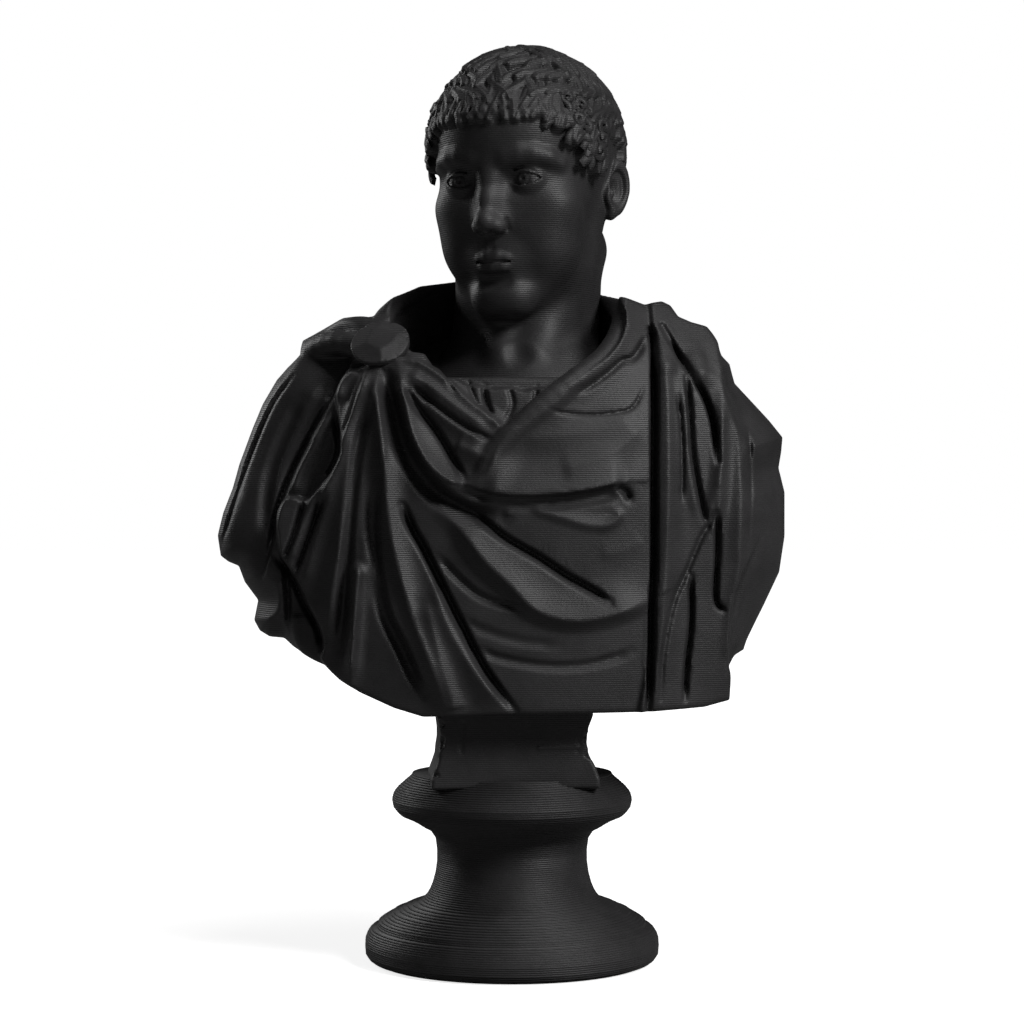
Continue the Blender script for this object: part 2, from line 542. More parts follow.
def makeCurls(material):
    places = curlPlaces()
    mesh = bpy.data.meshes.new("curlPlaces")
    mesh.from_pydata([p[0] for p in places], [], [])
    for name, kind, values in (("turnTo", "FLOAT_VECTOR", [v for p in places for v in p[1]]),
                               ("kind", "INT", [p[2] for p in places]),
                               ("size", "FLOAT", [p[3] for p in places])):
        data = mesh.attributes.new(name, kind, "POINT").data
        data.foreach_set("vector" if kind == "FLOAT_VECTOR" else "value", values)
    source = bpy.data.objects.new("curlPlaces", mesh)
    bpy.context.scene.collection.objects.link(source)

    tree, sockets = treeWithInputs("hairCurls", {"Steps": "Int", "Lobes": "Int", "Flatness": "Float"})
    start = node(tree, "NodeGroupInput")
    end = node(tree, "NodeGroupOutput")
    section = node(tree, "GeometryNodeCurveStar", {"Inner Radius": 0.74, "Outer Radius": 1.06, "Twist": 0.0})
    gather = node(tree, "GeometryNodeGeometryToInstance")
    branches = [lockBranch(tree, start, shape) for shape in lockShapes]
    branches += [curlBranch(tree, start, way) for way in (1, -1)]
    link(tree, (start.outputs["Lobes"], section.inputs["Points"]))
    for branch in reversed(branches):
        tube = node(tree, "GeometryNodeCurveToMesh", {"Fill Caps": True})
        smooth = node(tree, "GeometryNodeSetShadeSmooth")
        radius = node(tree, "GeometryNodeInputRadius")
        link(tree, (branch.outputs[0], tube.inputs["Curve"]),
             (section.outputs[0], tube.inputs["Profile Curve"]),
             (tube.outputs[0], smooth.inputs[0]), (smooth.outputs[0], gather.inputs[0]))
        if "Scale" in tube.inputs:
            link(tree, (radius.outputs[0], tube.inputs["Scale"]))
    kind = node(tree, "GeometryNodeInputNamedAttribute", {"Name": "kind"}, data_type="INT")
    size = node(tree, "GeometryNodeInputNamedAttribute", {"Name": "size"}, data_type="FLOAT")
    turned = node(tree, "GeometryNodeInputNamedAttribute", {"Name": "turnTo"}, data_type="FLOAT_VECTOR")
    rotation = node(tree, "FunctionNodeEulerToRotation")
    scale = node(tree, "ShaderNodeCombineXYZ")
    low = calc(tree, "MULTIPLY", size.outputs["Attribute"], start.outputs["Flatness"])
    copies = node(tree, "GeometryNodeInstanceOnPoints", {"Pick Instance": True})
    real = node(tree, "GeometryNodeRealizeInstances")
    paint = node(tree, "GeometryNodeSetMaterial", {"Material": material})
    link(tree, (start.outputs["Geometry"], copies.inputs["Points"]),
         (gather.outputs[0], copies.inputs["Instance"]),
         (kind.outputs["Attribute"], copies.inputs["Instance Index"]),
         (turned.outputs["Attribute"], rotation.inputs[0]), (rotation.outputs[0], copies.inputs["Rotation"]),
         (size.outputs["Attribute"], scale.inputs["X"]), (size.outputs["Attribute"], scale.inputs["Y"]),
         (low, scale.inputs["Z"]), (scale.outputs[0], copies.inputs["Scale"]),
         (copies.outputs[0], real.inputs[0]), (real.outputs[0], paint.inputs["Geometry"]),
         (paint.outputs[0], end.inputs[0]))
    print("curls", len(places))
    return grown(source, "curls", tree, sockets, {"Steps": curls["steps"], "Lobes": curls["lobes"],
                                                  "Flatness": curls["flat"]})


# Folds of the cloak from the front: reach to the left and right of the path, height, and the path as (X, Z).
folds = {
    "fanEdgeRidge": (1.3, 1.3, 0.9, (
        (-20.4, 87.8), (-22.1, 84.3), (-23.7, 80.4), (-24.2, 76), (-25.8, 71.7), (-28, 68.8))),
    "fanRidgeLeft": (1.4, 2.2, 1.5, (
        (-19.3, 87.8), (-20.9, 80.3), (-22.8, 71.7), (-24.6, 62.1), (-25.8, 55.9), (-26.7, 48.3))),
    "fanRidgeLong": (1.5, 1.4, 1.6, (
        (-18.9, 87.8), (-18.8, 81.2), (-18.2, 73.9), (-17.8, 68.1), (-16.8, 61.8), (-14.3, 52.6),
        (-11.6, 45.6), (-9.3, 38.8))),
    "fanRidgeShort": (0.9, 1.2, 1.2, ((-21.5, 60.2), (-22.4, 52.5), (-23.1, 42.5))),
    "fanRidgeSplit": (1.2, 0.8, 0.8, (
        (-20.9, 63.1), (-19.6, 58.1), (-17.2, 52.8), (-14.3, 47.5), (-12, 41.8))),
    "fanValleyLeft": (0.9, 0.9, -1.2, (
        (-20.2, 83.1), (-22.1, 76), (-23.3, 66), (-23.9, 57.4), (-24.7, 47.3))),
    "fanValleyMid": (0.9, 1.2, -1.2, (
        (-19.3, 71.7), (-19.8, 63.1), (-18.3, 53.4), (-15.5, 47.4), (-12.6, 41.2))),
    "lowerRidgeSoft": (1.4, 1.4, 0.9, ((-12.3, 54.6), (-10.9, 48.9), (-8.7, 41.2), (-8.2, 38.7))),
    "lowerRidgeRight": (1.2, 1.6, 1, ((-11.4, 57.4), (-9.2, 51), (-6, 45.4), (-1.5, 39.3))),
    "greatGroove": (0.55, 0.8, -1.9, (
        (-15.5, 68.1), (-14.3, 65.1), (-12.6, 62.1), (-10.2, 57.2), (-6.7, 50.2), (-3.8, 44.8),
        (0.5, 38.9))),
    "rollShadow": (1, 1.8, -2.2, (
        (-18.2, 86.9), (-16.6, 81.6), (-14.9, 76.6), (-11.6, 71.1), (-6.7, 67.7), (-1.8, 66.8))),
    "rollFold": (1.5, 1.3, 2.2, (
        (-16.5, 88.7), (-15.2, 82.6), (-14.3, 78.3), (-12.6, 74.8), (-9.6, 71.9), (-7, 70.9))),
    "rollGroove": (0.6, 0.6, -1.2, (
        (-15.5, 85.3), (-13.4, 81.9), (-11, 78.9), (-8.7, 75.1), (-6.7, 71.6))),
    "neckRidgeOne": (1.2, 1, 1, ((-15, 87.2), (-11.8, 85.1), (-7.7, 81.9), (-3.2, 78.7))),
    "neckGrooveOne": (0.5, 0.5, -0.8, ((-14.7, 85.4), (-11.4, 82.7), (-7.2, 79.6), (-2.9, 77.3))),
    "neckRidgeTwo": (1, 1, 0.8, ((-12.6, 83), (-8.2, 79.6), (-4, 77))),
    "neckFacet": (1.2, 1.2, 0.8, ((-8.2, 76.8), (-5.5, 75.6), (-3.2, 74.5))),
    "cloakEdgeLeft": (0.7, 0.7, 0.7, (
        (-16.2, 89.6), (-13.3, 88.9), (-9.6, 86.5), (-5.9, 83.1), (-2.6, 80.6), (-1.2, 79.7))),
    "cloakEdgeRight": (2, 0.8, 1.4, (
        (13.2, 98.7), (15.5, 97.3), (16.2, 95.3), (15.6, 92.4), (13.6, 89.6), (10.5, 87.2), (7.8, 84.9),
        (6, 83), (3.3, 81.3), (0.9, 79.4), (-1.8, 76.5), (-3.1, 73.3), (-5.2, 71.2), (-7.3, 70.9))),
    "shoulderLip": (0.35, 0.8, -0.9, (
        (7.8, 84.3), (10.5, 85.2), (13.6, 87.2), (15.8, 89), (17.5, 89.6), (19.2, 92.2))),
    "chestCrease": (0.25, 0.3, -0.4, (
        (4.8, 82), (7.2, 81.3), (11.3, 81), (15.2, 81.4), (17.4, 82.2), (19, 85))),
    "chestOverhang": (3, 0.9, 1.3, (
        (-4.6, 69.7), (-1.1, 69.2), (3.6, 69.4), (9, 69.9), (13.2, 70.7), (16.8, 71.2))),
    "chestPocketRim": (0.9, 0.5, 0.45, (
        (2.5, 68.1), (4.2, 67.2), (7.7, 66.1), (10.5, 65.3), (13.5, 65.2), (15.2, 66.4), (14.6, 67.5))),
    "chestGroove": (0.5, 0.9, -1.5, (
        (-6, 67.2), (-3.5, 65.5), (-0.5, 63.3), (4, 60.7), (7.9, 58.1), (11.6, 56), (14, 54.3))),
    "swagRidge": (2.6, 0.9, 1.5, (
        (-9.6, 67.1), (-6.6, 63.7), (-3.8, 60.1), (-0.4, 56.9), (2.6, 53.8), (5.5, 52.3), (9.3, 51.7),
        (12.7, 52.1), (16.3, 53.1), (20.1, 54.8))),
    "swagGrooveA": (0.6, 0.8, -0.7, ((-10.4, 60.7), (-7, 57.2), (-3.8, 54.9), (1.1, 53.5))),
    "swagGrooveB": (0.8, 0.9, -0.35, ((-7, 51.8), (-3.8, 50.2), (1.1, 48.8), (6.7, 48.2))),
    "swagGrooveC": (0.6, 0.9, -0.5, (
        (-4.6, 47.7), (-1.8, 46.5), (4, 45.4), (9.3, 45.3), (14, 46.2), (16.9, 47.3))),
    "chestRidgeHigh": (2, 2, 0.3, ((1.1, 77.3), (6.7, 77.9), (12.5, 78.8), (18.2, 81.4))),
    "chestRidgeMid": (2, 1.6, 0.4, ((6.7, 73.1), (11, 74.2), (15.3, 76.2), (18.9, 79.5))),
    "rightSwagSmall": (1.2, 1, 0.15, ((12.5, 61), (15.6, 61.4), (18.9, 63.1))),
    "columnGroove": (0.55, 0.4, -3, (
        (20.1, 93.8), (20.4, 91.6), (20.4, 81.1), (20.3, 73), (20.3, 60.4), (20, 54.8), (19.7, 44.1),
        (19.4, 38.5))),
    "columnRidgeA": (1.4, 1.2, 0.9, (
        (21.7, 92.8), (22.3, 83.2), (22.3, 68.8), (21.7, 54.5), (20.4, 40.2))),
    "columnGrooveA": (0.3, 0.3, -0.6, ((23.9, 83.9), (24.4, 78.9), (24.5, 73), (24.4, 68.8))),
    "columnRidgeB": (0.7, 0.7, 0.4, ((24.6, 87.3), (25.1, 80.3), (25.5, 73.1), (26.6, 65.9))),
    "columnGrooveB": (0.45, 0.4, -1.2, (
        (25.2, 86.7), (25.7, 81.2), (26, 75.7), (26.9, 70.3), (28.1, 64.9))),
    "columnGap": (0.42, 0.48, -2.2, (
        (21.9, 94.2), (23.7, 90.7), (25.8, 87.4), (27.8, 84), (29.1, 80), (29.7, 74.3))),
    "columnRidgeC": (1, 0.8, 0.9, ((30.4, 84.1), (30.2, 75.8), (29.7, 70.3), (28.8, 65.9))),
    "columnCrease": (0.4, 0.5, -0.55, (
        (29.7, 70.3), (28.7, 65.7), (27.3, 63.5), (25.2, 58.6), (23.2, 54.2), (21.7, 46.9), (21.3, 40.2))),
    "columnGrooveC": (0.4, 0.45, -1.5, ((25.8, 58), (25.8, 51.3), (25.2, 45.4), (24.9, 40.1))),
    "columnPocket": (0.42, 0.42, -1.5, ((29.6, 67.1), (29.6, 61.5), (29.4, 54.7), (30.6, 52.9))),
    "armGrooveRight": (0.42, 0.45, -1.1, (
        (33.6, 83.1), (34.5, 78.6), (34.8, 73.1), (34.6, 65.9), (34.3, 61.4))),
    "armCreaseRight": (0.25, 0.25, -0.25, ((36.9, 82.1), (37.9, 77.7), (38.7, 73.1))),
    "armEdgeRight": (0.3, 0.8, 0.4, ((38.5, 69.6), (35.1, 62), (32.3, 55.5), (31.7, 49.8), (31.4, 45.2))),
    "armRidgeRight": (0.8, 0.8, 0.4, ((32.3, 81.9), (32.8, 74.7), (32.9, 67.7), (32.5, 57.9))),
    "armRimLeft": (0.4, 0.4, -0.8, (
        (-32.3, 87.2), (-35.4, 83), (-38.3, 76.5), (-40.6, 69.9), (-43.1, 62))),
    "armGrooveLeft": (1.2, 1.2, -0.8, ((-30.7, 83.3), (-33.7, 77.5), (-35.7, 71), (-36, 62.1))),
    "armRidgeLeft": (1.4, 1.4, 0.6, ((-28.1, 86.2), (-31.3, 80.4), (-34, 73.2), (-35.3, 65.9))),
    "layerGapLeft": (0.6, 0.6, -1.5, (
        (-25.8, 84.5), (-29.8, 77.5), (-32.2, 72.6), (-34.3, 67.2), (-35.4, 61))),
    "layerFacetA": (0.6, 0.6, 0.8, ((-26.5, 83.9), (-28, 80.3), (-29.5, 77.5))),
    "layerFacetB": (0.8, 0.8, 0.9, ((-25.8, 81.7), (-28.3, 77.5), (-30.7, 73.2), (-31.9, 69.3))),
    "layerHollow": (0.5, 0.5, -1.4, ((-25.6, 81), (-25.2, 75.7), (-27, 71.7))),
    "frontGrooveA": (0.4, 0.5, -1, ((-30.1, 68.8), (-31.6, 63.5), (-33, 60.3))),
    "frontGrooveB": (0.4, 0.5, -1.2, ((-27.5, 68.8), (-29.2, 64.1), (-31.6, 57.8))),
    "frontRidgeB": (0.8, 0.8, 0.5, ((-25.9, 70.3), (-28, 63.8), (-30.1, 56.6))),
    "fanRidgeFine": (0.7, 0.7, 0.6, (
        (-20.7, 88.1), (-22.4, 83.1), (-24.3, 77.4), (-26.2, 72), (-27.4, 68.8))),
    "fanGrooveFine": (0.3, 0.35, -0.5, ((-21.4, 87.2), (-23, 82), (-24.4, 78))),
    "fanLeaf": (0.6, 0.5, 0.7, ((-22.4, 87.8), (-24.4, 85.8), (-25.3, 83.5))),
    "fanEdgeLow": (0.5, 0.9, 0.9, ((-22.1, 60.8), (-22.5, 52.5), (-23.3, 42.8))),
    "fanRidgePin": (0.5, 0.5, 0.5, ((-19.5, 87.2), (-19.1, 80.2), (-18.5, 73.7))),
    "layerLeafRidge": (0.7, 0.6, 0.7, ((-27.7, 71.4), (-30.2, 65.4), (-32.3, 59.9))),
    "layerHollowLow": (0.5, 0.7, -1.6, (
        (-34.3, 60.7), (-31.9, 57.6), (-29.8, 53.3), (-28.1, 50.1), (-27.5, 47.3))),
    "chestShadow": (0.35, 1.6, -1.3, (
        (-7.2, 70.8), (-2.6, 69.4), (2.1, 69.1), (7.6, 69.4), (12.2, 70.1), (15.6, 71))),
    "chestNotch": (0.6, 0.6, -0.9, ((15, 70.7), (16.2, 70), (16.8, 68.8))),
    "tunicPleatA": (0.5, 0.35, -1.1, ((-4.2, 85.3), (-3.8, 83), (-2.9, 80.7))),
    "tunicPleatB": (0.35, 0.3, -0.6, ((-6.4, 85.9), (-5.6, 83.9), (-4.8, 82.1))),
    "tunicPleatC": (0.4, 0.5, -0.5, ((-0.4, 85), (0.1, 82.4), (-0.8, 80.2))),
    "tunicPleatD": (0.4, 0.4, -0.6, ((3.5, 85.1), (3.2, 82.7), (2.2, 81.3))),
    "tunicScallop": (0.3, 0.3, -0.5, ((-9.5, 87), (-8.8, 85.2), (-8, 84.2))),
    "secondGroove": (0.5, 0.5, -1.1, ((-33.1, 60.1), (-32.7, 54.4), (-32.8, 48.1))),
    "secondRidge": (1.2, 1.2, 0.7, ((-35, 57.9), (-35.9, 52.8), (-36.5, 49))),
    "secondRidgeB": (0.7, 0.7, 0.6, ((-31.3, 52.4), (-31.7, 47.1))),
}
# Layers of cloth and openings: softness of the edge, height, and the outline.
layers = {
    "secondLayer": (0.4, 1.6, (
        (-24.2, 87.6), (-25.8, 84.5), (-29.8, 77.5), (-32.2, 72.6), (-34.3, 67.2), (-35.3, 61.1),
        (-37.6, 54.2), (-40.9, 50.4), (-38.4, 41), (-26.2, 34.4), (43.1, 32.9), (47.6, 68.9), (43.1, 98.9),
        (12.8, 105.3), (-13.5, 105.3))),
    "frontLayer": (0.4, 1.8, (
        (-20.4, 88.7), (-22.3, 87.8), (-24.4, 87), (-25.5, 84.5), (-25.3, 82.2), (-24.7, 77.4),
        (-24.9, 75.1), (-26.7, 72.3), (-29.5, 69), (-32.2, 69.3), (-34.3, 67.2), (-34, 64.1),
        (-33.4, 60.3), (-31.6, 57), (-30.4, 54.1), (-28.6, 51.3), (-27.4, 47.7), (-27.7, 45.8),
        (-24, 41.6), (-16, 36), (32.3, 35.4), (31.4, 45.2), (31.7, 49.8), (32.3, 55.5), (35.1, 62),
        (38.5, 69.6), (43.1, 73.4), (43.1, 98.9), (12.8, 102.4))),
    "column": (0.5, 0.8, (
        (20.1, 98.1), (20.4, 91.6), (20.4, 81.1), (20.1, 73), (20.1, 60.4), (19.7, 54.8), (19.2, 44.1),
        (18.9, 35.9), (32.3, 35.4), (31.4, 45.2), (31.7, 49.8), (32.3, 55.5), (35.1, 62), (38.2, 68.9),
        (43.1, 73.4), (43.1, 101.9))),
    "neckOpening": (0.5, -3.4, (
        (-15.7, 93.5), (-16.2, 89.6), (-13.3, 88.9), (-9.6, 86.5), (-5.9, 83.1), (-2.6, 80.6),
        (-1.2, 79.4), (0.9, 79.4), (3.3, 81.3), (6, 83), (7.8, 84.9), (10.5, 87.2), (13.6, 89.6),
        (15.6, 92.4), (16.2, 95.3), (15.5, 97.3), (12.8, 100.2), (6.9, 105.3), (-7.6, 105.3),
        (-13.5, 99.5))),
    "tunic": (0.3, 2, (
        (-16.5, 92), (-14.5, 90.4), (-12.7, 90.1), (-11.5, 88.3), (-10.4, 87.7), (-9.4, 86.5),
        (-7.8, 86.2), (-6.6, 85.4), (-4.6, 85.3), (-2.9, 84.8), (-0.1, 85), (1.6, 84.5), (3.6, 84.9),
        (5.6, 85.1), (7.2, 86), (12.5, 85.4), (11, 74.5), (-4.6, 74.5), (-16.6, 83.1))),
}
# The clothed bust's outline from the front.
outline = (
    (-31.4, 92.8), (-29.3, 94.1), (-27.2, 95), (-25.1, 95.9), (-20.5, 96.2), (-17.5, 99), (-13.9, 101.1),
    (-8.6, 102.3), (7.1, 103.4), (13.6, 99.8), (16, 98.6), (19.4, 97.5), (22, 98.1), (23.3, 97.5),
    (24.4, 95.8), (26.3, 95), (28.6, 94.4), (30.5, 92.1), (31.3, 90.5), (32.6, 89.3), (33.4, 86.4),
    (36.2, 83.4), (38.6, 80.8), (40.6, 78.3), (40.4, 76.1), (40, 73.7), (40.9, 70.1), (40.9, 63.5),
    (40.1, 58.1), (37.7, 53), (35.2, 48), (34.6, 46.5), (33.1, 45.7), (31.8, 44.5), (31.6, 39.8),
    (27.8, 38.9), (18.6, 38.4), (1.1, 38.3), (-12.7, 37.8), (-16.9, 39), (-21.8, 41.1), (-24.8, 42.8),
    (-27.2, 44.8), (-30.9, 46), (-32.7, 47), (-34.1, 48.2), (-36.3, 48.4), (-37.8, 49.3), (-38.7, 50.9),
    (-38.1, 53.9), (-40.1, 56.6), (-41, 59), (-42.5, 59.6), (-43.7, 60.5), (-44.2, 63.6), (-43.3, 67.1),
    (-41.9, 70.7), (-40.9, 74.3), (-38.9, 79.7), (-37.4, 83.3), (-35.3, 86.9), (-33.7, 88.7),
    (-31.7, 90.6))


# The clothed torso, cut off below as a rounded bust.
cloak = {"low": (-47.0, -27.0, 34.0), "high": (45.0, 27.0, 108.0), "voxel": 0.28, "triangles": 195000,
         "chest": (35.0, 17.5, 40.0), "chestLevel": 66.0, "chestTail": 115.0, "plan": (45.5, 20.5),
         "back": 18.5, "shoulder": (29.3, 2.0, 83.0), "nape": (0.0, 5.0, 99.0),
         "armRounding": 13.0, "lip": 0.9, "floor": 86.6, "floorRise": 0.5}
arms = (  # side, the upper arm's middle and its end
    (-1.0, (-35.4, 1.5, 64.0), (-37.0, 1.0, 46.0)),
    (1.0, (32.0, 1.5, 64.0), (33.4, 1.0, 46.0)),
)
collar = ((-19.0, -9.5, 94.0), (-18.0, -5.0, 96.8), (-15.4, 0.0, 99.3), (-11.9, 4.5, 101.7),
          (-7.6, 8.5, 103.2), (-1.5, 11.5, 103.8), (6.0, 11.5, 103.0), (13.0, 5.5, 100.4),
          (16.0, -3.5, 97.5), (16.4, -10.0, 94.5), (13.6, -14.5, 89.5), (7.8, -18.0, 85.0),
          (2.5, -19.3, 80.7), (-1.8, -19.8, 76.5), (-4.5, -20.0, 72.0))
collarRadii = ((0.0, 0.15, 0.4, 0.6, 0.8, 1.0), (0.7, 0.75, 1.1, 1.7, 1.5, 0.9))  # share of the way, radius
backFolds = {"count": 7, "top": 93.0, "gap": 8.0, "sag": 9.0, "span": 44.0}
shoulderRolls = (  # path, first radius, last radius
    (((-19.5, -9.0, 92.5), (-23.0, -5.0, 94.5), (-26.0, 0.0, 94.5), (-29.0, 5.0, 91.5)), 1.6, 2.2),
    (((-20.5, -12.0, 90.5), (-25.5, -8.0, 92.0), (-29.5, -3.0, 90.8), (-31.5, 3.0, 88.0)), 1.3, 1.8),
    (((21.0, 5.0, 96.0), (21.3, -3.0, 96.6), (21.8, -9.0, 93.5), (22.0, -14.0, 88.0)), 1.3, 1.2),
    (((24.0, 5.0, 95.5), (23.6, -2.0, 96.2), (25.2, -8.5, 92.0), (27.0, -13.0, 87.0)), 1.4, 1.3),
    (((29.0, 6.0, 92.0), (28.6, -1.0, 93.2), (28.8, -7.0, 90.5), (28.4, -11.5, 86.0)), 1.8, 1.6),
    (((32.5, 5.0, 89.0), (32.3, -1.0, 90.0), (31.5, -6.0, 87.5), (30.8, -10.5, 82.0)), 1.4, 1.2),
)


def foldHeight(gx, gz, left, right, height, points):
    d, side, along = pathDistance(gx, gz, points)
    reach = np.where(side > 0, left, right)
    if height > 0.0:  # a crest is pointed and wide at its foot, a groove is round
        d = np.sqrt(d * d + 0.04) - 0.2
        across = (1.0 - np.clip(d / (reach * 2.1), 0.0, 1.0)) ** 1.7
    else:
        across = 0.5 + 0.5 * np.cos(np.pi * np.clip(d / (reach * 1.5), 0.0, 1.0))
    ends = ramp(along / 0.14) * ramp((1.0 - along) / 0.14)
    return height * across * (0.25 + 0.75 * ends)


def frontRelief(gx, gz):
    relief = np.zeros(gx.shape)
    cover = {}
    for name, (soft, height, points) in layers.items():
        cover[name] = ramp(0.5 - outlineDistance(gx, gz, curved(points + points[:1], 3)) / (1.6 * soft))
        if name == "tunic":  # it only shows inside the neck opening
            cover[name] = cover[name] * cover["neckOpening"]
        relief += height * cover[name]
    for left, right, height, points in folds.values():
        relief += foldHeight(gx, gz, left, right, height, points)
    return relief


def backRelief(gx, gz):  # hanging curves from shoulder to shoulder
    relief = np.full(gx.shape, 1.6)
    for i in range(backFolds["count"]):
        sag = (backFolds["sag"] + i) * (1.0 - ((gx - 3.0 + 2.0 * i) / backFolds["span"]) ** 2)
        level = backFolds["top"] - backFolds["gap"] * i - sag - 0.12 * gx
        reach = np.where(gz > level, 2.6, 1.1) * (1.0 + 0.12 * i)
        relief += (0.55 + 0.15 * (i % 3)) * np.exp(-((gz - level) / reach) ** 2)
    for x, height in ((19.0, -1.2), (22.5, 1.0), (26.0, -0.8), (29.5, 0.9)):
        relief += height * np.exp(-((gx - x - 0.03 * (90.0 - gz)) / 1.3) ** 2)
    return relief


def neckHollow(x, y, z, gx, gz, c):  # the empty space inside the collar, down to the skin and the tunic
    px, py = c.plane(0, 1)
    ring = curved([(v[0], v[1]) for v in collar[:11]] + [(-18.5, -17.0), collar[0][:2]], 3)
    plan = outlineDistance(px, py, ring).astype(np.float32)[:, :, None] + cloak["lip"]
    floor = cloak["floor"] + cloak["floorRise"] * np.maximum(y + 8.0, 0.0) - z
    opening = outlineDistance(gx, gz, layers["neckOpening"][2]) - 2.4 * ramp((gz - 92.0) / 2.0)
    front = np.maximum(opening, -outlineDistance(gx, gz, layers["tunic"][2]))
    front = throughDepth(front) - 2.0 * np.maximum(y + 9.0, 0.0)
    return np.maximum(np.maximum(plan, floor), front)


def makeCloak():
    c = Sculpt(cloak["low"], cloak["high"], cloak["voxel"])
    x, y, z = p = np.ix_(*c.axes)
    over = z - cloak["chestLevel"]  # below its middle the chest's ball is drawn out downwards
    ballZ = np.minimum(over, 0.0) * (cloak["chest"][2] / cloak["chestTail"]) + np.maximum(over, 0.0)
    body = ellipsoid((x, y, ballZ), (0.0, 0.5, 0.0), cloak["chest"])
    shoulderX, shoulderY, shoulderZ = cloak["shoulder"]
    for s, middle, end in arms:
        body = smoothMin(body, capsule(p, (s * shoulderX, shoulderY, shoulderZ), middle, 10.0, 9.6), 6.0)
        body = smoothMin(body, capsule(p, middle, end, 9.6, 9.0), 6.0)
        body = smoothMin(body, capsule(p, cloak["nape"], (s * 27.0, 4.0, 86.5), 7.5, 7.0), 5.0)
    wide, deep = cloak["plan"]
    plan = (np.sqrt((x / wide) ** 2 + (y / deep) ** 2) - 1.0) * deep
    behind = y - cloak["back"] + 0.34 * np.maximum(68.0 - z, 0.0) + 0.02 * np.maximum(z - 84.0, 0.0) ** 2
    behind = behind * 0.94
    body = smoothMax(smoothMax(body, plan, 3.0), behind, 5.0)
    gx, gz = c.plane(0, 2)
    front = throughDepth(frontRelief(gx, gz))
    back = throughDepth(backRelief(gx, gz))
    facing = ramp((9.0 - y) / 9.0)
    body = body - front * facing - back * (1.0 - facing)
    c.field = smoothMax(body, -neckHollow(x, y, z, gx, gz, c), 0.9).astype(np.float32)
    line = curved(collar, 4)
    c.chain(line, np.interp(np.linspace(0, 1, len(line)), *collarRadii), 0.9)
    for points, ra, rb in shoulderRolls:
        roll = curved(points, 3)
        c.chain(roll, np.linspace(ra, rb, len(roll)), 1.3)
    edge = throughDepth(outlineDistance(gx, gz, outline))
    beside = ramp((np.abs(x) - 27.0) / 8.0) * ramp((z - 43.0) / 9.0) * ramp((95.0 - z) / 8.0)
    edge = edge + cloak["armRounding"] * beside * ((y - 1.0) / 20.0) ** 2
    c.field = smoothMax(c.field, edge, 0.8).astype(np.float32)
    return pieceFromField(c, "cloak", cloak["triangles"])


# Block with scroll ends that carries the bust, and the pillar behind it.
block = {"low": 27.0, "high": 42.0, "front": -13.8, "depth": 15.0, "pillarWidth": 15.0, "pillarDepth": 11.0,
         "turn": 4.0, "chips": 30, "seed": 5, "voxel": 0.17, "triangles": 90000}
blockRight = ((11.9, block["low"]), (11.9, 28.4), (11.3, 30.0), (10.5, 31.6), (10.2, 32.4), (10.0, 33.6),
              (10.1, 34.8), (10.2, 35.8), (10.6, 36.8), (11.2, 38.6), (11.8, 40.4), (12.2, block["high"]))
blockLeft = ((-12.0, block["high"]), (-12.0, 39.6), (-11.8, 37.8), (-11.5, 36.6), (-11.3, 35.0),
             (-11.3, 33.6), (-11.5, 32.4), (-11.6, 31.2), (-12.0, 30.0), (-12.6, 28.4), (-12.6, block["low"]))
blockNotches = ((-8.3, 34.6, 0.55, 2.0), (8.6, 33.8, 0.45, 1.4))  # X, Z, reach across, reach up


def makeBlock():
    c = Sculpt((-14.0, -15.5, 26.0), (14.0, 14.5, 43.0), block["voxel"])
    x, y, z = np.ix_(*c.axes)
    gx, gz = c.plane(0, 2)
    edge = throughDepth(outlineDistance(gx, gz, blockRight + blockLeft))
    middle = block["front"] + block["depth"] / 2
    c.field = smoothMax(np.abs(y - middle) - block["depth"] / 2 + 0.0 * x * z, edge, 0.6).astype(np.float32)
    back = middle + block["depth"] / 2
    pillar = np.maximum(np.abs(x) - block["pillarWidth"] / 2, np.abs(y - back) - block["pillarDepth"])
    pillar = np.maximum(pillar, np.maximum(block["low"] - z, z - block["high"]))
    c.field = smoothMin(c.field, pillar.astype(np.float32), 0.8)
    front = block["front"]
    for nx, nz, across, up in blockNotches:
        c.limb((nx, front - 0.4, nz - up), (nx + 0.3, front - 0.4, nz + up), across, across, 0.25, cut=True)
    rng = np.random.default_rng(block["seed"])
    for k in range(block["chips"]):  # broken edges
        z0 = rng.uniform(29.0, 40.0)
        side = blockRight if k % 2 else blockLeft[::-1]
        edgeX = float(np.interp(z0, [v[1] for v in side], [v[0] for v in side]))
        r = rng.uniform(0.3, 0.8)
        c.ball((edgeX, front + rng.uniform(-0.2, 1.6), z0), (r, r * 1.2, r * 0.7), 0.3, cut=True)
    c.limb((3.0, front + 0.1, 33.0), (8.6, front + 0.1, 33.1), 0.32, 0.22, 0.25)
    turn = Euler((0.0, 0.0, math.radians(block["turn"]))).to_matrix()
    return pieceFromField(c, "block", block["triangles"], turn)


# Round pin that holds the cloak on the shoulder.
pin = {"place": (-19.1, -13.0, 91.6), "radius": 4.3, "thick": 2.0, "tip": 47.0, "swing": -8.0,
       "facets": 6, "nicks": 9, "seed": 3, "voxel": 0.13, "triangles": 30000}


